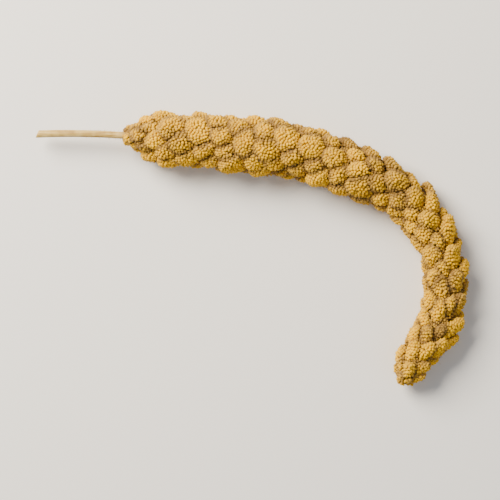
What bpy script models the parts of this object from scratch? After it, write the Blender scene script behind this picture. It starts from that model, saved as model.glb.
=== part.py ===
"""A foxtail millet seed head: a hooked, tapering head of seed lobes on a short cut stalk, lying down.

Run it with: blender --background --python part.py
Lengths are in metres. The head lies on the plane z = 0, its stalk points to -X and its tip hooks round to -Y.
"""

import math
import random
from bisect import bisect_left

import bmesh
import bpy
from mathutils import Matrix, Vector

# The rachis, seen from above: (length, turn in degrees) of each arc, from the stalk to the tip.
STALK_LENGTH = 0.045
SOCKET_DEPTH = 0.012
STALK_ARC = (STALK_LENGTH, -6.5)
HEAD_ARCS = ((0.016, 0.0), (0.046, -1.0), (0.069, -25.0), (0.086, -93.0), (0.023, -2.0))
HEAD_LENGTH = sum(length for length, _ in HEAD_ARCS)
START_HEADING = 2.0
AXIS_STEP = 0.0005

# The head along its rachis: (distance from the lowest lobe, radius over the lobes, height of the rachis).
RADIUS, HEIGHT = 1, 2
STATIONS = (
    (-0.045, 0.0050, 0.0096),
    (0.000, 0.0062, 0.0116),
    (0.007, 0.0098, 0.0119),
    (0.018, 0.0125, 0.0120),
    (0.040, 0.0137, 0.0124),
    (0.075, 0.0140, 0.0129),
    (0.110, 0.0131, 0.0120),
    (0.140, 0.0117, 0.0106),
    (0.170, 0.0108, 0.0097),
    (0.205, 0.0101, 0.0090),
    (0.243, 0.0093, 0.0083),
)
CAP_LENGTH = 0.013
CAP_STEPS = 24

# The lobes. Seven seeds make one lobe, so the seeds round the head are a multiple of seven.
# A thin head has narrower lobes but not shorter ones, up to LOBE_STRETCH times as long as wide.
SEEDS_ROUND = 21
SEEDS_PER_LOBE = 7
SMALLEST_ROW = 0.0016
LOBE_STRETCH = 1.45
LONGEST_PITCH = 0.0045
LAST_ROW_RADIUS = 0.0032
LOBE_LEAN = math.radians(26)
CREVICE_SHARE = 0.36
BARE_BASE = 0.016
LEAST_COSINE = 0.2
PRESSED = 0.00007
DRAWS = 11
LOBE_SWELL = (0.78, 1.0)
LOBE_DRIFT = 0.36
SEED_SWELL = 0.06
SEED_DRIFT = 0.10

# Heights of a lobe's points, from 0 in the crevice to 1 on the skin.
TOP_SEED = 1.0
RING_SEED = 0.84
SEED_GAP = 0.66
LOBE_GAP = 0.14
LOBE_PIT = 0.0

# The stalk, and the socket that it stands in with a gap all round.
STALK_RADIUS = 0.0016
CUT_RADIUS = 0.0018
STALK_SIDES = 16
STALK_RIB = 0.05
STALK_RINGS = 14
CUT_SLANT = 0.0009
SLANT_FADE = 8
PITH_RINGS = ((0.33, 0.0012), (0.55, 0.0004))
FIT_GAP = 0.0003
SOCKET_RADIUS = STALK_RADIUS + FIT_GAP
SOCKET_WALL = 0.0007

HUSK_COLOUR = (0.578, 0.330, 0.075)
HUSK_ROUGHNESS = 0.55
STRAW_COLOUR = (0.590, 0.452, 0.215)
STRAW_ROUGHNESS = 0.60
SHARP_EDGE = math.radians(60)

# The honeycomb: the rows' distance in seeds' widths, and the way to a lobe's middle from each of its cells.
ROW_PITCH = math.sqrt(3) / 2
TO_MIDDLE = {0: (0, 0), 1: (-1, 0), 6: (1, 0), 5: (0, -1), 2: (0, 1), 3: (-1, 1), 4: (1, -1)}


def clear_scene():
    for old in list(bpy.data.objects):
        bpy.data.objects.remove(old)


def make_material(name, colour, roughness):
    """A Principled material; the colour is linear."""
    material = bpy.data.materials.new(name)
    material.use_nodes = True
    shader = material.node_tree.nodes["Principled BSDF"]
    shader.inputs["Base Color"].default_value = (*colour, 1.0)
    shader.inputs["Roughness"].default_value = roughness
    shader.inputs["Metallic"].default_value = 0.0
    return material


def station(along, column):
    """The value of one column of STATIONS at a distance along the head, on smooth cubic pieces."""
    last = len(STATIONS) - 2
    k = max(i for i in range(last + 1) if i == 0 or STATIONS[i][0] <= along)
    before, low, high, after = (STATIONS[min(max(i, 0), last + 1)] for i in (k - 1, k, k + 1, k + 2))
    span = high[0] - low[0]
    t = min(max((along - low[0]) / span, 0.0), 1.0)
    slope_low = (high[column] - before[column]) / (high[0] - before[0]) * span
    slope_high = (after[column] - low[column]) / (after[0] - low[0]) * span
    return (
        low[column] * (2 * t**3 - 3 * t**2 + 1)
        + slope_low * (t**3 - 2 * t**2 + t)
        + high[column] * (3 * t**2 - 2 * t**3)
        + slope_high * (t**3 - t**2)
    )


class Rachis:
    """The curved line that the head grows along."""

    def __init__(self):
        self.points = []
        heading = math.radians(START_HEADING)
        x = y = 0.0
        for length, turn in (STALK_ARC, *HEAD_ARCS):
            steps = round(length / AXIS_STEP)
            for _ in range(steps):
                self.points.append((x, y))
                heading += math.radians(turn) / steps / 2
                x += AXIS_STEP * math.cos(heading)
                y += AXIS_STEP * math.sin(heading)
                heading += math.radians(turn) / steps / 2
        self.points.append((x, y))

    def flat_point(self, along):
        """The plan of the point at a distance from the lowest lobe; past its ends the line is straight."""
        place = (along + STALK_LENGTH) / AXIS_STEP
        k = min(max(int(place), 0), len(self.points) - 2)
        (x0, y0), (x1, y1) = self.points[k], self.points[k + 1]
        return Vector((x0 + (x1 - x0) * (place - k), y0 + (y1 - y0) * (place - k), 0.0))

    def point(self, along):
        return self.flat_point(along) + Vector((0.0, 0.0, station(along, HEIGHT)))

    def frame(self, along):
        """The point, its direction, and the two directions across it: level and upright."""
        forward = (self.point(along + AXIS_STEP) - self.point(along - AXIS_STEP)).normalized()
        level = Vector((0.0, 0.0, 1.0)).cross(forward).normalized()
        return self.point(along), forward, level, forward.cross(level)

    def place(self, along, radius, angle):
        centre, _, level, upright = self.frame(along)
        return centre + radius * (math.cos(angle) * level + math.sin(angle) * upright)


def skin_profile():
    """(distance along the rachis, radius) of the surface over the lobes, closed by a round cap at the tip."""
    cap_start = HEAD_LENGTH - CAP_LENGTH
    profile = []
    along = 0.0
    while along < cap_start:
        profile.append((along, station(along, RADIUS)))
        along += AXIS_STEP
    for k in range(CAP_STEPS + 1):
        angle = math.pi / 2 * k / CAP_STEPS
        along = cap_start + CAP_LENGTH * math.sin(angle)
        profile.append((along, station(along, RADIUS) * math.cos(angle)))
    return profile


class Skin:
    """The head's outer surface as rows of a honeycomb, and the way down from it into the crevices."""

    def __init__(self):
        self.profile = skin_profile()
        self.length = [0.0]
        for (a0, r0), (a1, r1) in zip(self.profile, self.profile[1:]):
            self.length.append(self.length[-1] + math.hypot(a1 - a0, r1 - r0))
        self.rows = self.lay_rows()

    def at(self, length):
        """(distance along, radius, lean) of the skin at a length measured over it."""
        length = min(max(length, 0.0), self.length[-1])
        k = min(max(bisect_left(self.length, length), 1), len(self.length) - 1)
        (a0, r0), (a1, r1) = self.profile[k - 1], self.profile[k]
        t = (length - self.length[k - 1]) / (self.length[k] - self.length[k - 1])
        slope = math.atan2(r0 - r1, a1 - a0) / (math.pi / 2)
        lean = LOBE_LEAN + (math.pi / 2 - LOBE_LEAN) * slope
        return a0 + (a1 - a0) * t, r0 + (r1 - r0) * t, lean

    def lay_rows(self):
        """The length over the skin of each row of seeds, in a honeycomb drawn out along the head."""
        rows = [SMALLEST_ROW]
        while True:
            _, radius, _ = self.at(rows[-1])
            pitch = min(math.tau * radius / SEEDS_ROUND * LOBE_STRETCH, LONGEST_PITCH)
            rows.append(rows[-1] + max(pitch * ROW_PITCH, SMALLEST_ROW))
            along, radius, _ = self.at(rows[-1])
            if along > HEAD_LENGTH / 2 and radius < LAST_ROW_RADIUS:
                return rows[:-1]

    def row(self, number):
        """The length over the skin of a row, whole or not, with the end rows' spacing carried on."""
        k = min(max(int(math.floor(number)), 0), len(self.rows) - 2)
        return self.rows[k] + (self.rows[k + 1] - self.rows[k]) * (number - k)

    def spot(self, round_place, row, height):
        """(distance along, radius, angle) of a point, from the crevices at 0 to the skin at height 1."""
        along, radius, lean = self.at(self.row(row))
        shallow = CREVICE_SHARE * math.sqrt(station(along, RADIUS) * radius)
        deep = max(radius - SOCKET_RADIUS - SOCKET_WALL, 0.0) / max(math.cos(lean), LEAST_COSINE)
        bare = min(max(1.0 - along / BARE_BASE, 0.0), 1.0)
        down = min(shallow + (deep - shallow) * bare, deep) * (1.0 - height)
        angle = math.tau * round_place / SEEDS_ROUND
        return along - down * math.sin(lean), radius - down * math.cos(lean), angle


def middle_of(column, row):
    """The middle cell of the lobe that a cell belongs to."""
    across, up = TO_MIDDLE[(column + 5 * row) % SEEDS_PER_LOBE]
    return column + across, row + up


def on_honeycomb(column, row):
    """Where a cell lies on the honeycomb laid flat, in seeds' widths."""
    return Vector((column + row / 2, row * ROW_PITCH))


def between_lobes(place, middles):
    """Moves a point of the crevice between two lobes to halfway between their middles."""
    first, second = (on_honeycomb(*middle) for middle in middles)
    across = second - first
    return place - across * (place - (first + second) / 2).dot(across) / across.length_squared


def draw_lobes(rows, draws):
    """How far each lobe swells and drifts, drawn in order from the base to the tip."""
    lobes = {}
    for row in range(-2, rows + 2):
        for column in range(SEEDS_ROUND):
            if (column + 5 * row) % SEEDS_PER_LOBE == 0:
                drift = Vector([draws.uniform(-LOBE_DRIFT, LOBE_DRIFT) for _ in range(2)])
                lobes[column, row] = (draws.uniform(*LOBE_SWELL), drift)
    return lobes


def build_head(rachis, material):
    """The seed lobes, raised as a honeycomb: a peak for each seed, a crevice round each lobe."""
    skin = Skin()
    last = len(skin.rows) - 1
    draws = random.Random(DRAWS)
    lobes = draw_lobes(len(skin.rows), draws)
    mesh = bmesh.new()

    def vertex(place, height, owners):
        """A point of the honeycomb, moved with the lobes that own it."""
        owned = [lobes[column % SEEDS_ROUND, row] for column, row in owners]
        swell = sum(lobe[0] for lobe in owned) / len(owned)
        place = place + sum((lobe[1] for lobe in owned), Vector((0.0, 0.0))) / len(owned)
        return mesh.verts.new(rachis.place(*skin.spot(place.x, place.y / ROW_PITCH, height * swell)))

    def corner(cells):
        """The point where three cells meet: in a lobe, in a crevice of two, or in the pit of three."""
        place = sum((on_honeycomb(*cell) for cell in cells), Vector((0.0, 0.0))) / 3
        owners = [middle_of(*cell) for cell in cells]
        middles = sorted(set(owners))
        if len(middles) == 2:
            place = between_lobes(place, middles)
        height = {1: SEED_GAP, 2: LOBE_GAP, 3: LOBE_PIT}[len(middles)]
        return vertex(place, height, middles)

    seeds, upper, lower = {}, {}, {}
    for row in range(last + 1):
        for column in range(SEEDS_ROUND):
            middle = middle_of(column, row)
            height = TOP_SEED if middle == (column, row) else RING_SEED
            height -= draws.uniform(0, SEED_SWELL)
            drift = Vector([draws.uniform(-SEED_DRIFT, SEED_DRIFT) for _ in range(2)])
            seeds[column, row] = vertex(on_honeycomb(column, row) + drift, height, [middle])
    for row in range(-1, last + 2):
        for column in range(SEEDS_ROUND):
            if row <= last:
                upper[column, row] = corner([(column, row), (column, row + 1), (column - 1, row + 1)])
            if row >= 0:
                lower[column, row] = corner([(column, row), (column, row - 1), (column + 1, row - 1)])

    def wrapped(table, column, row):
        return table[column % SEEDS_ROUND, row]

    for (column, row), seed in seeds.items():
        ring = [
            wrapped(lower, column, row + 1),
            wrapped(upper, column, row),
            wrapped(lower, column - 1, row + 1),
            wrapped(upper, column, row - 1),
            wrapped(lower, column, row),
            wrapped(upper, column + 1, row - 1),
        ]
        for k in range(len(ring)):
            mesh.faces.new((seed, ring[k], ring[(k + 1) % len(ring)]))

    base_edge = [v for c in range(SEEDS_ROUND) for v in (wrapped(upper, c, -1), wrapped(lower, c, 0))]
    tip_edge = [v for c in range(SEEDS_ROUND) for v in (wrapped(upper, c, last), wrapped(lower, c, last + 1))]
    close_tip(mesh, rachis, tip_edge)
    open_socket(mesh, rachis, base_edge)
    rest_on_floor(mesh)
    return finish(mesh, "seed_head", material)


def close_tip(mesh, rachis, edge):
    pole = mesh.verts.new(rachis.point(HEAD_LENGTH))
    for k in range(len(edge)):
        mesh.faces.new((pole, edge[(k + 1) % len(edge)], edge[k]))


def open_socket(mesh, rachis, edge):
    """Closes the base round a blind hole that the stalk stands in."""
    sides = len(edge)
    inner = edge
    for along in (0.0, SOCKET_DEPTH):
        angles = [math.tau * (k - 1) / sides for k in range(sides)]
        ring = [mesh.verts.new(rachis.place(along, SOCKET_RADIUS, angle)) for angle in angles]
        for k in range(sides):
            n = (k + 1) % sides
            mesh.faces.new((inner[k], inner[n], ring[n], ring[k]))
        inner = ring
    mesh.faces.new(inner)


def rest_on_floor(mesh):
    """Presses the lowest lobes flat, a little above the height 0; the whole is lowered by it at the end."""
    geometry = mesh.verts[:] + mesh.edges[:] + mesh.faces[:]
    floor = (0, 0, PRESSED)
    bmesh.ops.bisect_plane(mesh, geom=geometry, plane_co=floor, plane_no=(0, 0, -1), clear_outer=True)
    open_edges = [edge for edge in mesh.edges if edge.is_boundary]
    bmesh.ops.holes_fill(mesh, edges=open_edges, sides=0)


def build_stalk(rachis, material):
    """The ribbed, slightly tapered straw stalk, cut slantwise at its free end."""
    mesh = bmesh.new()
    top = SOCKET_DEPTH - FIT_GAP

    def ring(along, radius, slant=0.0, rib=STALK_RIB):
        points = []
        for k in range(STALK_SIDES):
            angle = math.tau * k / STALK_SIDES
            out = radius * (1 - rib * (k % 2))
            points.append(rachis.place(along + slant * math.cos(angle), out, angle))
        return [mesh.verts.new(p) for p in points]

    rings = [ring(depth - STALK_LENGTH, CUT_RADIUS * share, CUT_SLANT, 0.0) for share, depth in PITH_RINGS]
    for k in range(STALK_RINGS + 1):
        t = k / STALK_RINGS
        along = (STALK_LENGTH + top) * t - STALK_LENGTH
        radius = CUT_RADIUS + (STALK_RADIUS - CUT_RADIUS) * t
        rings.append(ring(along, radius, CUT_SLANT * (1 - t) ** SLANT_FADE))
    for inner, outer in zip(rings, rings[1:]):
        for k in range(STALK_SIDES):
            n = (k + 1) % STALK_SIDES
            mesh.faces.new((inner[k], inner[n], outer[n], outer[k]))
    mesh.faces.new(reversed(rings[0]))
    mesh.faces.new(rings[-1])
    return finish(mesh, "stalk", material)


def finish(mesh, name, material):
    """Turns a bmesh into a named object of triangles with its faces outwards."""
    bmesh.ops.triangulate(mesh, faces=mesh.faces[:])
    bmesh.ops.recalc_face_normals(mesh, faces=mesh.faces[:])
    data = bpy.data.meshes.new(name)
    mesh.to_mesh(data)
    mesh.free()
    data.shade_smooth()
    data.set_sharp_from_angle(angle=SHARP_EDGE)
    data.materials.append(material)
    made = bpy.data.objects.new(name, data)
    bpy.context.scene.collection.objects.link(made)
    return made


def main():
    clear_scene()
    rachis = Rachis()
    seed_husk = make_material("seed_husk", HUSK_COLOUR, HUSK_ROUGHNESS)
    straw = make_material("straw", STRAW_COLOUR, STRAW_ROUGHNESS)
    pieces = [build_head(rachis, seed_husk), build_stalk(rachis, straw)]
    # The origin is under the middle of the whole head, on the floor.
    corners = [v.co for piece in pieces for v in piece.data.vertices]
    low = [min(c[k] for c in corners) for k in range(3)]
    high = [max(c[k] for c in corners) for k in range(3)]
    centre = Vector(((low[0] + high[0]) / 2, (low[1] + high[1]) / 2, low[2]))
    for piece in pieces:
        piece.data.transform(Matrix.Translation(-centre))


main()
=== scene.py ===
import math
import random
from bisect import bisect_left

import bmesh
import bpy
from mathutils import Matrix, Vector, noise
from mathutils.kdtree import KDTree


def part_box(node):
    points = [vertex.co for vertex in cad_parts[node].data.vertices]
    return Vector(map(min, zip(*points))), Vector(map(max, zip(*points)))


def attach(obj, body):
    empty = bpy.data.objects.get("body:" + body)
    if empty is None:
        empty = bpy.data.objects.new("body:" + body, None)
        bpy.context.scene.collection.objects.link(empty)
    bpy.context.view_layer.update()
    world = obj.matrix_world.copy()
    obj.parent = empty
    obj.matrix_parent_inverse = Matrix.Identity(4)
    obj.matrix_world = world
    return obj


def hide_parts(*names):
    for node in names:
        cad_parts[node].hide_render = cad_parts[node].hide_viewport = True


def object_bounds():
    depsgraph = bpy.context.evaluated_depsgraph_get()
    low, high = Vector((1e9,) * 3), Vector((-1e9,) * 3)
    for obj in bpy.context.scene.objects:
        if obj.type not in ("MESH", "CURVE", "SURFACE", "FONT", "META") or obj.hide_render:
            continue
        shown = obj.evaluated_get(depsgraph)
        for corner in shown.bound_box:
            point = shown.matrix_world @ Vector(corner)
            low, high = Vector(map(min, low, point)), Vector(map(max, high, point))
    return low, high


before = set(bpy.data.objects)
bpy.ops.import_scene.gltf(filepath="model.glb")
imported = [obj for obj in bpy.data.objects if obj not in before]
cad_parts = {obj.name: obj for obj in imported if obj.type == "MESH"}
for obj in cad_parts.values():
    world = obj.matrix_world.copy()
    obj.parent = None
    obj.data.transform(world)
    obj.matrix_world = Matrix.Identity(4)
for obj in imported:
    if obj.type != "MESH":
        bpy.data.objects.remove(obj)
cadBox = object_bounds()
print("frame loaded:", ", ".join(sorted(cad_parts)))

# the head's line and girth, in metres, as its solids have them
head = {
    # length, turn in degrees
    "arcs": [(0.016, 0.0), (0.046, -1.0), (0.069, -25.0), (0.086, -93.0), (0.023, -2.0)],
    "firstHeading": 2.0,
    "step": 0.0005,
    # distance from the lowest lobe, radius over the lobes, height of the rachis
    "stations": [
        (-0.045, 0.0050, 0.0096),
        (0.000, 0.0062, 0.0116),
        (0.007, 0.0098, 0.0119),
        (0.018, 0.0125, 0.0120),
        (0.040, 0.0137, 0.0124),
        (0.075, 0.0140, 0.0129),
        (0.110, 0.0131, 0.0120),
        (0.140, 0.0117, 0.0106),
        (0.170, 0.0108, 0.0097),
        (0.205, 0.0101, 0.0090),
        (0.243, 0.0093, 0.0083),
    ],
    "capLength": 0.013,  # the rounded tip
    "capSteps": 24,
    "cellsRound": 21,  # the lobes lie on a honeycomb of cells
    "cellsPerLobe": 7,
    "cellsPerRow": 5,  # how far the lobes' middles move round from one row of cells to the next
    "smallestRow": 0.0016,
    "lobeStretch": 1.45,  # length of a lobe against its width, where the head is thin
    "longestPitch": 0.0045,
    "lastRowRadius": 0.0032,
    "lean": math.radians(26),  # the lobes lean towards the tip
    "creviceShare": 0.36,  # depth of a crevice against the head's radius
    "bareBase": 0.016,  # here the crevices go down to the bare rachis
    "leastCosine": 0.2,  # limits the crevices where the lobes lean most
    "coreRadius": 0.0026,  # of the bare rachis
}
headLength = sum(length for length, turn in head["arcs"])
rowPitch = math.sqrt(3) / 2  # from row to row of a honeycomb, against cells that stand 1 apart

# the cut straw stalk, in metres
stalk = {
    "length": 0.045,
    "turn": -6.5,  # degrees
    "inSocket": 0.0117,
    "radius": 0.0016,
    "cutRadius": 0.0018,
    "cutSlant": 0.0009,
    "slantFade": 8,
    "sides": 16,
    "rib": 0.05,
    "rings": 14,
}


def station(along, column):
    # smooth cubic pieces through the stations
    rows = head["stations"]
    last = len(rows) - 2
    k = max(i for i in range(last + 1) if i == 0 or rows[i][0] <= along)
    before, low, high, after = (rows[min(max(i, 0), last + 1)] for i in (k - 1, k, k + 1, k + 2))
    span = high[0] - low[0]
    t = min(max((along - low[0]) / span, 0.0), 1.0)
    slopeLow = (high[column] - before[column]) / (high[0] - before[0]) * span
    slopeHigh = (after[column] - low[column]) / (after[0] - low[0]) * span
    lowPart = low[column] * (2 * t**3 - 3 * t**2 + 1) + slopeLow * (t**3 - 2 * t**2 + t)
    highPart = high[column] * (3 * t**2 - 2 * t**3) + slopeHigh * (t**3 - t**2)
    return lowPart + highPart


def drawLine():
    # plan of the line that the head grows along, from the cut end to the tip
    points = []
    heading = math.radians(head["firstHeading"])
    x = y = 0.0
    for length, turn in [(stalk["length"], stalk["turn"])] + head["arcs"]:
        steps = round(length / head["step"])
        for k in range(steps):
            points.append((x, y))
            heading += math.radians(turn) / steps / 2
            x += head["step"] * math.cos(heading)
            y += head["step"] * math.sin(heading)
            heading += math.radians(turn) / steps / 2
    return points + [(x, y)]


line = drawLine()
shift = Vector((0, 0, 0))


def linePoint(along):
    place = (along + stalk["length"]) / head["step"]
    k = min(max(int(place), 0), len(line) - 2)
    (x0, y0), (x1, y1) = line[k], line[k + 1]
    flat = Vector((x0 + (x1 - x0) * (place - k), y0 + (y1 - y0) * (place - k), station(along, 2)))
    return flat + shift


def frameAt(along):
    # matrix at a point of the line: X level, Y upright, Z along the head
    forward = (linePoint(along + head["step"]) - linePoint(along - head["step"])).normalized()
    level = Vector((0, 0, 1)).cross(forward).normalized()
    turn = Matrix((level, forward.cross(level), forward)).transposed()
    return Matrix.Translation(linePoint(along)) @ turn.to_4x4()


def placeOn(along, radius, angle):
    return frameAt(along) @ Vector((radius * math.cos(angle), radius * math.sin(angle), 0))


def stalkAt(t):
    # distance along, radius and slant of the stalk, from its cut at t 0 to its end in the socket at t 1
    along = (stalk["length"] + stalk["inSocket"]) * t - stalk["length"]
    radius = stalk["cutRadius"] + (stalk["radius"] - stalk["cutRadius"]) * t
    slant = stalk["cutSlant"] * (1 - t) ** stalk["slantFade"]
    return along, radius, slant


def stalkRing(t):
    # one ring of the solid stalk
    along, radius, slant = stalkAt(t)
    ring = []
    for k in range(stalk["sides"]):
        angle = math.tau * k / stalk["sides"]
        ring.append(placeOn(along + slant * math.cos(angle), radius * (1 - stalk["rib"] * (k % 2)), angle))
    return ring


# the frame's origin is under the middle of everything, so the line is moved to where the solid stalk is
solid = []
for k in range(stalk["rings"] + 1):
    solid += stalkRing(k / stalk["rings"])
shift = Vector([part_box("stalk")[0][k] - min(p[k] for p in solid) for k in range(3)])
print("line placed, shift in mm:", [round(v * 1000, 2) for v in shift])


def makeSkin():
    # the surface over the lobes: distance along, radius, and the length measured over it
    places = []
    along = 0.0
    while along < headLength - head["capLength"]:
        places.append((along, station(along, 1)))
        along += head["step"]
    for k in range(head["capSteps"] + 1):
        angle = math.pi / 2 * k / head["capSteps"]
        along = headLength - head["capLength"] * (1 - math.sin(angle))
        places.append((along, station(along, 1) * math.cos(angle)))
    lengths = [0.0]
    for (a0, r0), (a1, r1) in zip(places, places[1:]):
        lengths.append(lengths[-1] + math.hypot(a1 - a0, r1 - r0))
    return places, lengths


skinPlaces, skinLengths = makeSkin()


def skinAt(length):
    # distance along, radius, and how far what grows there leans towards the tip
    length = min(max(length, 0.0), skinLengths[-1])
    k = min(max(bisect_left(skinLengths, length), 1), len(skinLengths) - 1)
    (a0, r0), (a1, r1) = skinPlaces[k - 1], skinPlaces[k]
    t = (length - skinLengths[k - 1]) / (skinLengths[k] - skinLengths[k - 1])
    slope = math.atan2(r0 - r1, a1 - a0) / (math.pi / 2)
    lean = head["lean"] + (math.pi / 2 - head["lean"]) * slope
    return a0 + (a1 - a0) * t, r0 + (r1 - r0) * t, lean


def layRows():
    rows = [head["smallestRow"]]
    while True:
        pitch = math.tau * skinAt(rows[-1])[1] / head["cellsRound"] * head["lobeStretch"]
        pitch = min(pitch, head["longestPitch"])
        rows.append(rows[-1] + max(pitch * rowPitch, head["smallestRow"]))
        along, radius, lean = skinAt(rows[-1])
        if along > headLength / 2 and radius < head["lastRowRadius"]:
            return rows[:-1]


rows = layRows()


def bareShare(along):
    # 1 at the bare base, 0 where the lobes are dense
    return min(max(1.0 - along / head["bareBase"], 0.0), 1.0)


def headPoint(x, row, height):
    # x counts cells round the head, and height goes from 0 in the crevices to 1 on the skin
    k = min(max(int(math.floor(row)), 0), len(rows) - 2)
    along, radius, lean = skinAt(rows[k] + (rows[k + 1] - rows[k]) * (row - k))
    shallow = head["creviceShare"] * math.sqrt(station(along, 1) * radius)
    deep = max(radius - head["coreRadius"], 0.0) / max(math.cos(lean), head["leastCosine"])
    down = min(shallow + (deep - shallow) * bareShare(along), deep) * (1.0 - height)
    angle = math.tau * x / head["cellsRound"]
    return placeOn(along - down * math.sin(lean), radius - down * math.cos(lean), angle)


# the lobes, each a tuft of seeds
tuft = {
    "draws": 11,  # the draws of the solids, so that the tufts stand where their lobes do
    "swell": (0.78, 1.0),
    "drift": 0.36,
    "ownDraws": 5,  # for what the solids don't have
    "places": (-0.8, -0.4),  # the first, and the last against the number of rows
    "spreadRound": 1.03,  # width against the honeycomb's
    "spreadAlong": 1.13,  # tufts are longer than wide, and lap over the next
    "grow": (0.84, 1.38),  # the weakest and the strongest, which lap over their neighbours
    "endZone": 0.03,  # towards the ends of the head they are more alike
    "uneven": 0.12,
    "drop": 0.0013,  # some tufts stand up to this much lower
    "roll": 22,  # degrees
    "reach": 0.018,  # tufts further apart than this don't touch
    "tipRadius": 0.0034,
    "tipStretch": 1.1,
}


def growth(swell, along):
    # how large a tuft has grown, by its lobe's swell on the solids and its distance along the head
    weakest, strongest = tuft["swell"]
    least, most = tuft["grow"]
    grow = least + (most - least) * (swell - weakest) / (strongest - weakest)
    fromEnd = max(min(along, headLength - along), 0)
    return 1 + (grow - 1) * min(fromEnd / tuft["endZone"], 1)


def makeTuft(x, place, swell, own):
    # an ellipsoid that stands in the lobe's cells
    top = headPoint(x, place, swell)
    out = top - headPoint(x, place, 0.0)
    roundWay = headPoint(x + 0.5, place, swell) - headPoint(x - 0.5, place, swell)
    alongWay = headPoint(x, place + 0.5, swell) - headPoint(x, place - 0.5, swell)
    halfLobe = math.sqrt(head["cellsPerLobe"]) / 2
    skin = skinAt(rows[min(max(round(place), 0), len(rows) - 1)])
    grow = growth(swell, skin[0])
    wide = own.uniform(1 - tuft["uneven"], 1 + tuft["uneven"]) * tuft["spreadRound"] * grow
    long = own.uniform(1 - tuft["uneven"], 1 + tuft["uneven"]) * tuft["spreadAlong"] * grow
    sizes = Vector((
        roundWay.length * halfLobe * wide,
        alongWay.length / rowPitch * halfLobe * long,
        out.length,
    ))
    outAxis = out.normalized()
    side = (roundWay - outAxis * roundWay.dot(outAxis)).normalized()
    turn = Matrix((side, outAxis.cross(side), outAxis)).transposed().to_4x4()
    turn = turn @ Matrix.Rotation(math.radians(own.uniform(-tuft["roll"], tuft["roll"])), 4, "Z")
    centre = top - outAxis * (sizes.z + own.uniform(0, 1) ** 2 * tuft["drop"])
    return {
        "matrix": Matrix.Translation(centre) @ turn,
        "sizes": sizes,
        "along": place / len(rows),
        "skin": skin,
        "tone": own.uniform(-1, 1),
    }


def makeTipTuft():
    turn = frameAt(headLength)
    centre = turn @ Vector((0, 0, -tuft["tipRadius"]))
    return {
        "matrix": Matrix.Translation(centre) @ turn.to_3x3().to_4x4(),
        "sizes": Vector((tuft["tipRadius"], tuft["tipRadius"], tuft["tipRadius"] * tuft["tipStretch"])),
        "along": 1.0,
        "skin": (headLength, 0.0, 0.0),
        "tone": 0.0,
    }


def makeTufts():
    draws = random.Random(tuft["draws"])
    own = random.Random(tuft["ownDraws"])
    first, last = tuft["places"]
    tufts = []
    for row in range(-2, len(rows) + 2):
        for column in range(head["cellsRound"]):
            if (column + head["cellsPerRow"] * row) % head["cellsPerLobe"]:
                continue
            driftRound = draws.uniform(-tuft["drift"], tuft["drift"])
            driftAlong = draws.uniform(-tuft["drift"], tuft["drift"])
            swell = draws.uniform(*tuft["swell"])
            place = row + driftAlong / rowPitch
            if first <= place <= len(rows) + last:
                tufts.append(makeTuft(column + row / 2 + driftRound, place, swell, own))
    tufts.append(makeTipTuft())
    for one in tufts:
        one["back"] = one["matrix"].inverted()
        one["centre"] = one["matrix"].translation
    for one in tufts:
        others = [other for other in tufts if other is not one]
        one["near"] = [other for other in others if (other["centre"] - one["centre"]).length < tuft["reach"]]
    return tufts


tufts = makeTufts()
print("tufts:", len(tufts))


def srgb(code):
    channels = [int(code[k:k + 2], 16) / 255 for k in (1, 3, 5)]
    return tuple(c / 12.92 if c <= 0.04045 else ((c + 0.055) / 1.055) ** 2.4 for c in channels) + (1.0,)


def addNode(tree, kind, values=None, links=None, stops=None, **settings):
    node = tree.nodes.new(kind)
    for name, value in settings.items():
        setattr(node, name, value)
    for name, value in (values or {}).items():
        node.inputs[name].default_value = value
    for name, source in (links or {}).items():
        tree.links.new(source, node.inputs[name])
    if stops:
        elements = node.color_ramp.elements
        while len(elements) < len(stops):
            elements.new(0.5)
        for element, (position, code) in zip(elements, stops):
            element.position = position
            element.color = srgb(code)
    return node


def newMaterial(name):
    material = bpy.data.materials.new(name)
    material.use_nodes = True
    tree = material.node_tree
    tree.nodes.clear()
    return material, tree


# ripe millet husk: a hard, faintly glossy lemma, straw gold with browner bases
husk = {
    "tones": [(0.0, "#826230"), (0.25, "#AE8632"), (0.5, "#D0A01C"), (0.8, "#E4B000"), (1.0, "#F2BE00")],
    "base": "#A4875C",
    "baseFade": (0.05, 0.45),  # of the seed's height
    "roughness": 0.56,
    "specular": 0.16,  # the waxy skin is thin, so the gloss is weaker than a varnish's
    "mottle": 0.0006,  # blotches about a third of a seed wide
    "mottleShare": 0.5,
    "wrinkle": 0.00025,  # real wrinkles are finer, about 0.05 mm
    "wrinkleHeight": 0.0001,
    "wrinkleStrength": 0.25,
}


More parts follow.
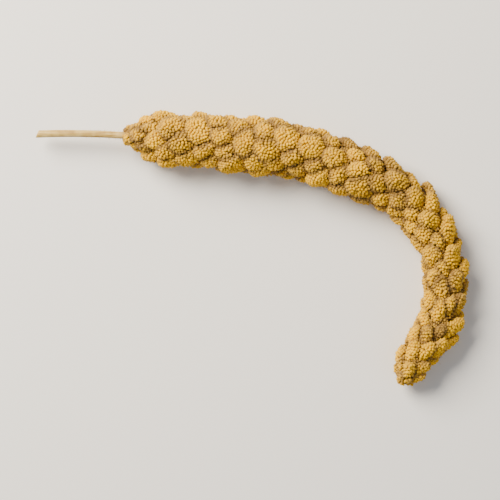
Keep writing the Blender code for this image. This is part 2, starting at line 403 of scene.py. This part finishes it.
def makeHusk():
    material, tree = newMaterial("ripeMilletHusk")
    place = addNode(tree, "ShaderNodeTexCoord").outputs["Object"]
    # the tone holds each seed's own tone and the painted shade on the tufts' sides and in the crevices
    tone = addNode(tree, "ShaderNodeAttribute", attribute_name="tone").outputs["Fac"]
    rise = addNode(tree, "ShaderNodeAttribute", attribute_name="rise").outputs["Fac"]
    mottle = addNode(
        tree,
        "ShaderNodeTexNoise",
        {"Scale": 1 / husk["mottle"], "Detail": 3.0},
        {"Vector": place},
    )
    swing = addNode(tree, "ShaderNodeMath", {1: 0.5}, {0: mottle.outputs["Fac"]}, operation="SUBTRACT")
    swung = addNode(
        tree,
        "ShaderNodeMath",
        {1: husk["mottleShare"]},
        {0: swing.outputs[0], 2: tone},
        operation="MULTIPLY_ADD",
    )
    gold = addNode(tree, "ShaderNodeValToRGB", links={"Fac": swung.outputs[0]}, stops=husk["tones"])
    fade = addNode(
        tree,
        "ShaderNodeMapRange",
        {"From Min": husk["baseFade"][0], "From Max": husk["baseFade"][1]},
        {"Value": rise},
    )
    colour = addNode(
        tree,
        "ShaderNodeMix",
        {6: srgb(husk["base"])},
        {0: fade.outputs[0], 7: gold.outputs[0]},
        data_type="RGBA",
    )
    wrinkle = addNode(
        tree,
        "ShaderNodeTexNoise",
        {"Scale": 1 / husk["wrinkle"], "Detail": 2.0},
        {"Vector": place},
    )
    bump = addNode(
        tree,
        "ShaderNodeBump",
        {"Strength": husk["wrinkleStrength"], "Distance": husk["wrinkleHeight"]},
        {"Height": wrinkle.outputs["Fac"]},
    )
    shader = addNode(
        tree,
        "ShaderNodeBsdfPrincipled",
        {"Roughness": husk["roughness"], "IOR": 1.5, "Specular IOR Level": husk["specular"]},
        {"Base Color": colour.outputs[2], "Normal": bump.outputs["Normal"]},
    )
    addNode(tree, "ShaderNodeOutputMaterial", links={"Surface": shader.outputs["BSDF"]})
    return material


# dead husk, glume and branchlet between the seeds: brown, papery and dull
chaff = {
    "tones": [(0.1, "#463420"), (0.5, "#76582E"), (1.0, "#A08246")],
    "papery": [(0.1, "#86602A"), (0.4, "#B28A40"), (0.8, "#D2B06A")],
    "roughness": 0.75,
    "grain": 0.0007,  # real chaff is rough at about 0.2 mm, too fine to show
    "grainShare": 0.7,
    "grainHeight": 0.0002,
    "grainStrength": 0.5,
}


def makeDull(name, stops):
    material, tree = newMaterial(name)
    place = addNode(tree, "ShaderNodeTexCoord").outputs["Object"]
    rise = addNode(tree, "ShaderNodeAttribute", attribute_name="rise").outputs["Fac"]
    grain = addNode(
        tree,
        "ShaderNodeTexNoise",
        {"Scale": 1 / chaff["grain"], "Detail": 4.0},
        {"Vector": place},
    )
    # the rise adds painted light: on the tufts' hearts it lightens their tops
    both = addNode(
        tree,
        "ShaderNodeMath",
        {1: chaff["grainShare"]},
        {0: grain.outputs["Fac"], 2: rise},
        operation="MULTIPLY_ADD",
    )
    colour = addNode(tree, "ShaderNodeValToRGB", links={"Fac": both.outputs[0]}, stops=stops)
    bump = addNode(
        tree,
        "ShaderNodeBump",
        {"Strength": chaff["grainStrength"], "Distance": chaff["grainHeight"]},
        {"Height": grain.outputs["Fac"]},
    )
    shader = addNode(
        tree,
        "ShaderNodeBsdfPrincipled",
        {"Roughness": chaff["roughness"], "IOR": 1.45},
        {"Base Color": colour.outputs["Color"], "Normal": bump.outputs["Normal"]},
    )
    addNode(tree, "ShaderNodeOutputMaterial", links={"Surface": shader.outputs["BSDF"]})
    return material


# dry straw: long fibres under a thin wax, pale yellow with browner streaks
straw = {
    "tones": [(0.34, "#6E4E1C"), (0.44, "#A58038"), (0.54, "#C09C4C"), (0.68, "#DABE78")],
    "roughness": 0.5,
    "fibre": 0.0007,  # real fibres are about 0.2 mm apart, too fine to show
    "fibreLength": 0.02,
    "fibreShare": 0.55,
    "fibreHeight": 0.0001,
    "fibreStrength": 0.4,
    "blotch": 0.00625,  # weathered patches
    "blotchShare": 0.5,
}


def makeStraw():
    material, tree = newMaterial("drySeedStraw")
    place = addNode(tree, "ShaderNodeTexCoord").outputs["Object"]
    # the stalk runs nearly along X, so its fibres are a noise drawn out along X
    squeeze = (1 / straw["fibreLength"], 1 / straw["fibre"], 1 / straw["fibre"])
    long = addNode(tree, "ShaderNodeMapping", {"Scale": squeeze}, {"Vector": place})
    fibre = addNode(
        tree,
        "ShaderNodeTexNoise",
        {"Scale": 1.0, "Detail": 4.0},
        {"Vector": long.outputs["Vector"]},
    )
    blotch = addNode(
        tree,
        "ShaderNodeTexNoise",
        {"Scale": 1 / straw["blotch"], "Detail": 3.0},
        {"Vector": place},
    )
    streaks = addNode(
        tree,
        "ShaderNodeMath",
        {1: straw["fibreShare"]},
        {0: fibre.outputs["Fac"]},
        operation="MULTIPLY",
    )
    both = addNode(
        tree,
        "ShaderNodeMath",
        {1: straw["blotchShare"]},
        {0: blotch.outputs["Fac"], 2: streaks.outputs[0]},
        operation="MULTIPLY_ADD",
    )
    colour = addNode(tree, "ShaderNodeValToRGB", links={"Fac": both.outputs[0]}, stops=straw["tones"])
    bump = addNode(
        tree,
        "ShaderNodeBump",
        {"Strength": straw["fibreStrength"], "Distance": straw["fibreHeight"]},
        {"Height": fibre.outputs["Fac"]},
    )
    shader = addNode(
        tree,
        "ShaderNodeBsdfPrincipled",
        {"Roughness": straw["roughness"], "IOR": 1.5},
        {"Base Color": colour.outputs["Color"], "Normal": bump.outputs["Normal"]},
    )
    addNode(tree, "ShaderNodeOutputMaterial", links={"Surface": shader.outputs["BSDF"]})
    return material


huskMaterial = makeHusk()
chaffMaterial = makeDull("brownMilletChaff", chaff["tones"])
glumeMaterial = makeDull("paperyMilletGlume", chaff["papery"])
strawMaterial = makeStraw()


def closePiece(bm, name, material, node):
    data = bpy.data.meshes.new(name)
    bm.to_mesh(data)
    bm.free()
    data.shade_smooth()
    data.materials.append(material)
    piece = bpy.data.objects.new(name, data)
    bpy.context.scene.collection.objects.link(piece)
    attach(piece, "root")
    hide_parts(node)
    triangles = sum(len(p.vertices) - 2 for p in data.polygons)
    print(name, "faces:", len(data.polygons), "triangles:", triangles)


def edgesOf(ring, edges):
    return [e for e in edges if e.verts[0] in ring and e.verts[1] in ring]


def sweep(bm, ring, frames):
    # draws a ring of vertices along a row of frames; the ring already stands in the first
    edges = edgesOf(ring, bm.edges)
    for before, after in zip(frames, frames[1:]):
        made = bmesh.ops.extrude_edge_only(bm, edges=edges)["geom"]
        ring = {g for g in made if isinstance(g, bmesh.types.BMVert)}
        edges = edgesOf(ring, [g for g in made if isinstance(g, bmesh.types.BMEdge)])
        bmesh.ops.transform(bm, matrix=after @ before.inverted(), verts=list(ring))
    bmesh.ops.holes_fill(bm, edges=edges, sides=0)


def startShape():
    # tone is one number for each seed, and rise goes from its base to its top
    bm = bmesh.new()
    bm.verts.layers.float.new("tone")
    bm.verts.layers.float.new("rise")
    return bm


def closeShape(bm, name):
    shape = bpy.data.meshes.new(name)
    bm.to_mesh(shape)
    bm.free()
    return shape


def makeSpike(radius, name):
    # a three-sided spike of length 1, for bristles and hairs
    bm = startShape()
    bmesh.ops.create_cone(bm, cap_ends=True, segments=3, radius1=1, radius2=0, depth=1)
    bmesh.ops.translate(bm, vec=(0, 0, 0.5), verts=bm.verts)
    bmesh.ops.scale(bm, vec=(radius, radius, 1), verts=bm.verts)
    return closeShape(bm, name)


def stamp(bm, shape, matrix, tone):
    # adds a copy of a small mesh, with one tone all over
    copy = shape.copy()
    copy.attributes["tone"].data.foreach_set("value", [tone] * len(copy.vertices))
    copy.transform(matrix)
    bm.from_mesh(copy)
    bpy.data.meshes.remove(copy)


def liftOver(bm, floorGap):
    for v in bm.verts:
        v.co.z = max(v.co.z, floorGap)


def turnTo(way):
    # matrix that turns Z to a direction
    return way.to_track_quat("Z", "Y").to_matrix().to_4x4()


def anyWay(draws):
    return Vector([draws.uniform(-1, 1) for i in range(3)])


# the rachis with its coat of short husks, seen only deep between the tufts
core = {
    "sides": 20,
    "rings": 110,
    "girth": 1.05,  # against the crevices' floor
    "start": 0.004,  # of the skin's length
    "share": 0.97,
    "behind": 0.0015,
}


def coreRadius(along, radius):
    shallow = radius - head["creviceShare"] * math.sqrt(station(along, 1) * radius)
    return (shallow + (head["coreRadius"] - shallow) * bareShare(along)) * core["girth"]


def makeCore():
    frames = []
    for k in range(core["rings"] + 1):
        t = k / core["rings"]
        along, radius, lean = skinAt(skinLengths[-1] * (t * core["share"] + core["start"]))
        width = coreRadius(along, radius)
        frames.append(frameAt(along - core["behind"]) @ Matrix.Diagonal((width, width, 1, 1)))
    bm = bmesh.new()
    circle = bmesh.ops.create_circle(bm, cap_ends=True, segments=core["sides"], radius=1, matrix=frames[0])
    sweep(bm, set(circle["verts"]), frames)
    bmesh.ops.recalc_face_normals(bm, faces=bm.faces)
    closePiece(bm, "rachis", chaffMaterial, "seed_head")


makeCore()

# the brown heart of each tuft: branchlets and the seeds' stems, with painted light making its top lighter
heart = {"inside": 0.0009, "smallest": 0.0008, "subdivisions": 2, "floorGap": 0.0012, "paintedTopLight": 0.6}


def makeHearts():
    bm = startShape()
    rise = bm.verts.layers.float["rise"]
    bmesh.ops.create_icosphere(bm, subdivisions=heart["subdivisions"], radius=1)
    # painted light: the heart's top is made lighter, its lower half darker
    for v in bm.verts:
        v[rise] = max(v.co.z, 0) * heart["paintedTopLight"]
    shape = closeShape(bm, "heartShape")
    bm = startShape()
    for one in tufts:
        sizes = [max(s - heart["inside"], heart["smallest"]) for s in one["sizes"]]
        stamp(bm, shape, one["matrix"] @ Matrix.Diagonal((*sizes, 1)), 0.0)
    liftOver(bm, heart["floorGap"])
    closePiece(bm, "tuftHearts", chaffMaterial, "seed_head")


makeHearts()

# one millet seed in its husk, in metres: a plump oval with a blunt point
seed = {
    "length": 0.0022,
    "width": 0.00185,
    "thickness": 0.00165,
    "point": 0.30,  # how much it narrows at the top
    "around": 8,
    "along": 5,
    "room": 2.15e-6,  # square metres of tuft for each seed
    "fewest": 5,  # seeds of a tuft
    "reach": math.radians(116),  # how far down a tuft's side they go
    "sunk": 0.0008,  # how far the seeds' middles are under the tuft's surface
    "smallestShell": 0.0006,
    "tipward": 0.30,  # they lean towards the head's tip
    "jitter": 0.22,
    "placeJitter": 0.00022,
    "sizeJitter": 0.12,
    "buried": 0.88,  # deeper than this in a neighbouring tuft, seeds are left out
    "coreOverlap": 0.0006,
    "crevice": 1.8,  # nearer than this to a neighbouring tuft, seeds get painted shade, darker towards the crevice
    "paintedCreviceShade": 0.50,
    "bumpSize": 0.0045,  # the tufts' smaller branchlets
    "bumpHeight": 0.0007,
    "tone": 0.35,
    "toneJitter": 0.09,
    "tuftTone": 0.26,
    "paintedSideShade": 0.40,  # painted shade: seeds lower on a tuft's sides are darker, those on its top lighter
    "draws": 23,
    "pieces": ["seedsBase", "seedsMiddle", "seedsBend", "seedsHook", "seedsTip"],
}

# small seeds that stayed brown, in the crevices and wherever a tuft's heart would show
stunted = {
    "round": 42,  # places round the head
    "rows": 3,  # for each row of cells
    "jitter": 0.3,  # of the way to the next place
    "height": (0.12, 0.20),
    "size": (0.60, 0.85),
    "lean": 0.5,
    "tone": (0, 0.25),
    "buried": 0.92,  # deeper than this in a tuft, the ones in the crevices are left out
    "gap": 0.00135,  # a heart shows where no seed's middle is nearer than this
    "heartBuried": 0.60,  # and where it isn't deeper than this in a neighbouring tuft
}


def makeSeedShape():
    bm = startShape()
    rise = bm.verts.layers.float["rise"]
    bmesh.ops.create_uvsphere(bm, u_segments=seed["around"], v_segments=seed["along"], radius=1)
    for v in bm.verts:
        v[rise] = (v.co.z + 1) / 2
        narrow = 1 - seed["point"] * max(v.co.z, 0) ** 2
        v.co.x *= narrow
        v.co.y *= narrow
    bmesh.ops.scale(bm, vec=(seed["width"] / 2, seed["thickness"] / 2, seed["length"] / 2), verts=bm.verts)
    return closeShape(bm, "seedShape")


def nearest(point, others):
    # how far a point is from the nearest of some tufts: under 1 is inside one
    least = math.inf
    for other in others:
        local = other["back"] @ point
        least = min(least, sum((local[k] / other["sizes"][k]) ** 2 for k in range(3)))
    return least


def spiral(one, sunk, first):
    # points from the top of a tuft down its sides, with the way out and the height of each
    a, b, c = one["sizes"]
    power = 1.6  # gives the area of an ellipsoid to about 1%
    area = 4 * math.pi * (((a * b) ** power + (a * c) ** power + (b * c) ** power) / 3) ** (1 / power)
    share = (1 - math.cos(seed["reach"])) / 2
    count = max(round(area * share / seed["room"]), seed["fewest"])
    golden = math.pi * (3 - math.sqrt(5))  # this angle keeps them evenly apart
    shell = [max(s - sunk, seed["smallestShell"]) for s in (a, b, c)]
    spots = []
    for k in range(count):
        z = 1 - (k + 0.5) / count * 2 * share
        flat = math.sqrt(1 - z * z)
        angle = first + k * golden
        unit = (flat * math.cos(angle), flat * math.sin(angle), z)
        point = one["matrix"] @ Vector([unit[i] * shell[i] for i in range(3)])
        out = one["matrix"].to_3x3() @ Vector([unit[i] / shell[i] for i in range(3)]).normalized()
        spots.append((point, out, z))
    return spots


def inCore(point, one):
    along, radius, lean = one["skin"]
    level = frameAt(along).inverted()
    return (level @ point).to_2d().length < coreRadius(along, radius) - seed["coreOverlap"]


def fullSeeds(draws):
    placed = []
    halfs = (seed["width"] / 2, seed["thickness"] / 2, seed["length"] / 2)
    for one in tufts:
        tipward = (one["matrix"].to_3x3() @ Vector((0, 1, 0))) * seed["tipward"]
        for point, out, z in spiral(one, seed["sunk"], draws.uniform(0, math.tau)):
            wobble = anyWay(draws)
            nudge = anyWay(draws) * seed["placeJitter"]
            point += out * noise.noise(point / seed["bumpSize"]) * seed["bumpHeight"] + nudge
            grow = 1 + draws.uniform(-1, 1) * seed["sizeJitter"]
            roll = draws.uniform(0, math.tau)
            tone = seed["tone"] + draws.gauss(0, seed["toneJitter"]) + one["tone"] * seed["tuftTone"]
            # painted shade: the lower a seed sits on its tuft's side, the darker it is made
            tone += seed["paintedSideShade"] * z
            near = nearest(point, one["near"])
            if near < seed["buried"] or inCore(point, one):
                continue
            # painted shade: seeds near a neighbouring tuft, down in the crevices, are made darker
            depth = max(seed["crevice"] - near, 0) / (seed["crevice"] - seed["buried"])
            tone -= depth * seed["paintedCreviceShade"]
            axis = (out + tipward + wobble * seed["jitter"]).normalized()
            turn = turnTo(axis) @ Matrix.Rotation(roll, 4, "Z")
            # a seed under the head is pushed up until it lies on the floor
            point.z = max(point.z, math.hypot(*(turn[2][i] * halfs[i] * grow for i in range(3))))
            placed.append({
                "matrix": Matrix.Translation(point) @ turn @ Matrix.Scale(grow, 4),
                "tone": min(max(tone, 0.0), 1.0),
                "along": one["along"],
                "out": out,
            })
    return placed


def smallSeed(point, out, along, draws):
    wobble = anyWay(draws)
    grow = draws.uniform(*stunted["size"])
    turn = turnTo(out + wobble * stunted["lean"])
    point.z = max(point.z, seed["length"] / 2 * grow)
    return {
        "matrix": Matrix.Translation(point) @ turn @ Matrix.Scale(grow, 4),
        "tone": draws.uniform(*stunted["tone"]),
        "along": along,
        "out": out,
    }


def seedsBetween(draws):
    # small ones between the tufts
    placed = []
    jitter = stunted["jitter"]
    for k in range(stunted["round"] * stunted["rows"] * (len(rows) - 1)):
        place, column = divmod(k, stunted["round"])
        x = (column + place % 2 / 2 + draws.uniform(-jitter, jitter)) * head["cellsRound"] / stunted["round"]
        row = (place + draws.uniform(-jitter, jitter)) / stunted["rows"]
        point = headPoint(x, row, draws.uniform(*stunted["height"]))
        out = (headPoint(x, row, 1.0) - point).normalized()
        if nearest(point, tufts) > stunted["buried"] and point.z > seed["length"]:
            placed.append(smallSeed(point, out, row / len(rows), draws))
    return placed


def seedsOverHearts(others, draws):
    # small ones where a tuft's heart would show between the others
    tree = KDTree(len(others))
    for k, s in enumerate(others):
        tree.insert(s["matrix"].translation, k)
    tree.balance()
    placed = []
    for one in tufts:
        for point, out, z in spiral(one, heart["inside"], draws.uniform(0, math.tau)):
            if tree.find(point)[2] < stunted["gap"] or nearest(point, one["near"]) < stunted["heartBuried"]:
                continue
            if not inCore(point, one):
                placed.append(smallSeed(point, out, one["along"], draws))
    return placed


def placeSeeds():
    draws = random.Random(seed["draws"])
    placed = fullSeeds(draws)
    print("full seeds:", len(placed))
    placed += seedsBetween(draws)
    placed += seedsOverHearts(placed, draws)
    print("with small seeds:", len(placed))
    return sorted(placed, key=lambda s: s["along"])


def makeSeeds():
    shape = makeSeedShape()
    placed = placeSeeds()
    share = math.ceil(len(placed) / len(seed["pieces"]))
    for k, name in enumerate(seed["pieces"]):
        bm = startShape()
        for s in placed[k * share:(k + 1) * share]:
            stamp(bm, shape, s["matrix"], s["tone"])
        closePiece(bm, name, huskMaterial, "seed_head")
    return placed


placedSeeds = makeSeeds()

# papery glumes that cup the seeds, and the short bristles below them
trim = {
    "draws": 31,
    "glumeShare": 0.20,  # of the seeds
    "glumeSize": (0.00062, 0.00016, 0.00085),
    "glumeAround": 6,
    "glumeAlong": 4,
    "glumeHollow": 0.8,
    "glumeOff": 0.00072,
    "glumeSunk": 0.00010,
    "glumeLean": 0.35,
    "bristleShare": 0.30,  # of the seeds
    "bristleLength": (0.0018, 0.0034),
    "bristleRadius": 0.00007,
    "bristleOff": 0.0007,
    "bristleSunk": 0.0003,
    "bristleSpread": 0.5,
    "floorGap": 0.0001,
}


def makeGlumeShape():
    bm = startShape()
    bmesh.ops.create_uvsphere(bm, u_segments=trim["glumeAround"], v_segments=trim["glumeAlong"], radius=1)
    for v in bm.verts:
        v.co.y += trim["glumeHollow"] * (1 - v.co.x ** 2)  # a shallow boat
    bmesh.ops.scale(bm, vec=trim["glumeSize"], verts=bm.verts)
    return closeShape(bm, "glumeShape")


def makeTrim():
    draws = random.Random(trim["draws"])
    glume = makeGlumeShape()
    bristle = makeSpike(trim["bristleRadius"], "bristleShape")
    off = Matrix.Translation((0, trim["glumeOff"], -trim["glumeSunk"]))
    glumes = startShape()
    bristles = startShape()
    for s in placedSeeds:
        turn = s["matrix"].to_3x3().normalized().to_4x4()
        place = s["matrix"].translation
        spin = Matrix.Rotation(draws.uniform(0, math.tau), 4, "Z")
        lean = Matrix.Rotation(draws.uniform(0, trim["glumeLean"]), 4, "X")
        if draws.random() < trim["glumeShare"]:
            stamp(glumes, glume, Matrix.Translation(place) @ turn @ spin @ off @ lean, draws.random())
        length = draws.uniform(*trim["bristleLength"])
        way = s["out"] + anyWay(draws) * trim["bristleSpread"]
        if draws.random() < trim["bristleShare"]:
            aside = (turn @ spin).to_3x3() @ Vector((trim["bristleOff"], 0, 0))
            root = Matrix.Translation(place + s["out"] * -trim["bristleSunk"] + aside)
            grow = Matrix.Diagonal((1, 1, length, 1))
            stamp(bristles, bristle, root @ turnTo(way.normalized()) @ grow, draws.random())
    liftOver(glumes, trim["floorGap"])
    liftOver(bristles, trim["floorGap"])
    closePiece(glumes, "glumes", glumeMaterial, "seed_head")
    closePiece(bristles, "bristles", glumeMaterial, "seed_head")


makeTrim()

# the straw stalk, finer than its solid
stem = {
    "sides": 48,
    "rings": 60,
    "within": 0.995,  # of the solid's width
    "ribs": 12,
    "ribDepth": 0.035,
    "pith": 0.62,  # of the cut's radius
    "rimShare": 0.6,  # of what the pith leaves
    "pithEdge": 0.1,
    "pithDepth": 0.0007,
    "pithAim": 0.001,  # it sinks towards this place inside the cut
}


def stemFrame(t):
    along, radius, slant = stalkAt(t)
    width = radius / math.cos(math.pi / stalk["sides"]) * stem["within"]
    lean = Matrix.Identity(4)
    lean[2][0] = slant / width  # the cut slants across the level direction
    return frameAt(along) @ lean @ Matrix.Diagonal((width, width, 1, 1))


def makeStalk():
    frames = [stemFrame(k / stem["rings"]) for k in range(stem["rings"] + 1)]
    bm = bmesh.new()
    start = bmesh.ops.create_circle(bm, cap_ends=True, segments=stem["sides"], radius=1)["verts"]
    for v in start:
        angle = math.atan2(v.co.y, v.co.x)
        v.co *= 1 - stem["ribDepth"] * (0.5 + 0.5 * math.cos(stem["ribs"] * angle))
    bmesh.ops.transform(bm, matrix=frames[0], verts=start)
    end = bm.faces[:]
    sweep(bm, set(start), frames)
    bmesh.ops.recalc_face_normals(bm, faces=bm.faces)
    # the pith has shrunk into the cut end
    rim = stalk["cutRadius"] * (1 - stem["pith"]) * stem["rimShare"]
    bmesh.ops.inset_region(bm, faces=end, thickness=rim)
    bmesh.ops.inset_region(bm, faces=end, thickness=stalk["cutRadius"] * stem["pithEdge"])
    inward = linePoint(-stalk["length"] + stem["pithAim"]) - linePoint(-stalk["length"])
    push = inward.normalized() * stem["pithDepth"]
    bmesh.ops.translate(bm, vec=push, verts=list({v for f in end for v in f.verts}))
    bmesh.ops.triangulate(bm, faces=end)
    closePiece(bm, "strawStalk", strawMaterial, "stalk")


makeStalk()

# short stiff hairs, thickest just below the head
hairs = {
    "count": 420,
    "draws": 41,
    "zone": 0.022,
    "length": (0.0006, 0.0016),
    "radius": 0.00005,
    "sunk": 0.0001,
    "forward": (0.1, 0.9),
    "aside": (-0.4, 0.4),
}


def makeHairs():
    draws = random.Random(hairs["draws"])
    shape = makeSpike(hairs["radius"], "hairShape")
    bm = startShape()
    for k in range(hairs["count"]):
        along = -hairs["zone"] * draws.random() ** 2
        angle = draws.uniform(0, math.tau)
        radius = stalkAt((along + stalk["length"]) / (stalk["length"] + stalk["inSocket"]))[1]
        root = placeOn(along, radius * (1 - stem["ribDepth"]) - hairs["sunk"], angle)
        out = (root - linePoint(along)).normalized()
        forward = frameAt(along).col[2].to_3d()
        side = out.cross(forward)
        way = out + forward * draws.uniform(*hairs["forward"]) + side * draws.uniform(*hairs["aside"])
        grow = Matrix.Diagonal((1, 1, draws.uniform(*hairs["length"]), 1))
        stamp(bm, shape, Matrix.Translation(root) @ turnTo(way.normalized()) @ grow, 0.0)
    closePiece(bm, "stalkHairs", strawMaterial, "stalk")


makeHairs()

# a pale floor, soft light from the upper left, and a camera looking straight down
studio = {
    "floor": "#F6F3EE",
    "floorRoughness": 0.9,
    "floorHalf": 25,
    "key": {"place": (-0.55, 0.52, 0.70), "size": 0.62, "power": 33.0, "colour": "#FFF6E6"},
    "fill": {"place": (0.70, -0.50, 0.60), "size": 0.9, "power": 2.0, "colour": "#FFFFFF"},
    "sky": "#E2E9F4",
    "skyStrength": 0.32,
    "cameraHeight": 1.0,
    "sensor": 36,
    "filled": 0.86,  # of the frame's width
}


def makeFloor():
    bm = bmesh.new()
    bmesh.ops.create_grid(bm, x_segments=1, y_segments=1, size=studio["floorHalf"])
    data = bpy.data.meshes.new("floor")
    bm.to_mesh(data)
    bm.free()
    floor = bpy.data.objects.new("floor", data)
    bpy.context.scene.collection.objects.link(floor)
    material, tree = newMaterial("paintedStudioFloor")
    shader = addNode(
        tree,
        "ShaderNodeBsdfPrincipled",
        {"Base Color": srgb(studio["floor"]), "Roughness": studio["floorRoughness"]},
    )
    addNode(tree, "ShaderNodeOutputMaterial", links={"Surface": shader.outputs["BSDF"]})
    data.materials.append(material)


def makeLights():
    for name in ("key", "fill"):
        lamp = studio[name]
        light = bpy.data.lights.new(name, "AREA")
        light.size = lamp["size"]
        light.energy = lamp["power"]
        light.color = srgb(lamp["colour"])[:3]
        holder = bpy.data.objects.new(name, light)
        holder.location = lamp["place"]
        holder.rotation_euler = (-Vector(lamp["place"])).to_track_quat("-Z", "Y").to_euler()
        bpy.context.scene.collection.objects.link(holder)
    world = bpy.data.worlds.new("softSky")
    world.use_nodes = True
    background = world.node_tree.nodes["Background"]
    background.inputs["Color"].default_value = srgb(studio["sky"])
    background.inputs["Strength"].default_value = studio["skyStrength"]
    bpy.context.scene.world = world


def makeCamera():
    low, high = cadBox
    middle = (low + high) / 2
    camera = bpy.data.objects.new("camera", bpy.data.cameras.new("camera"))
    camera.location = (middle.x, middle.y, studio["cameraHeight"])
    width = (high.x - low.x) / studio["filled"]
    camera.data.sensor_width = studio["sensor"]
    camera.data.lens = studio["sensor"] * (studio["cameraHeight"] - middle.z) / width
    bpy.context.scene.collection.objects.link(camera)
    bpy.context.scene.camera = camera


makeFloor()
makeLights()
makeCamera()
print("studio ready")
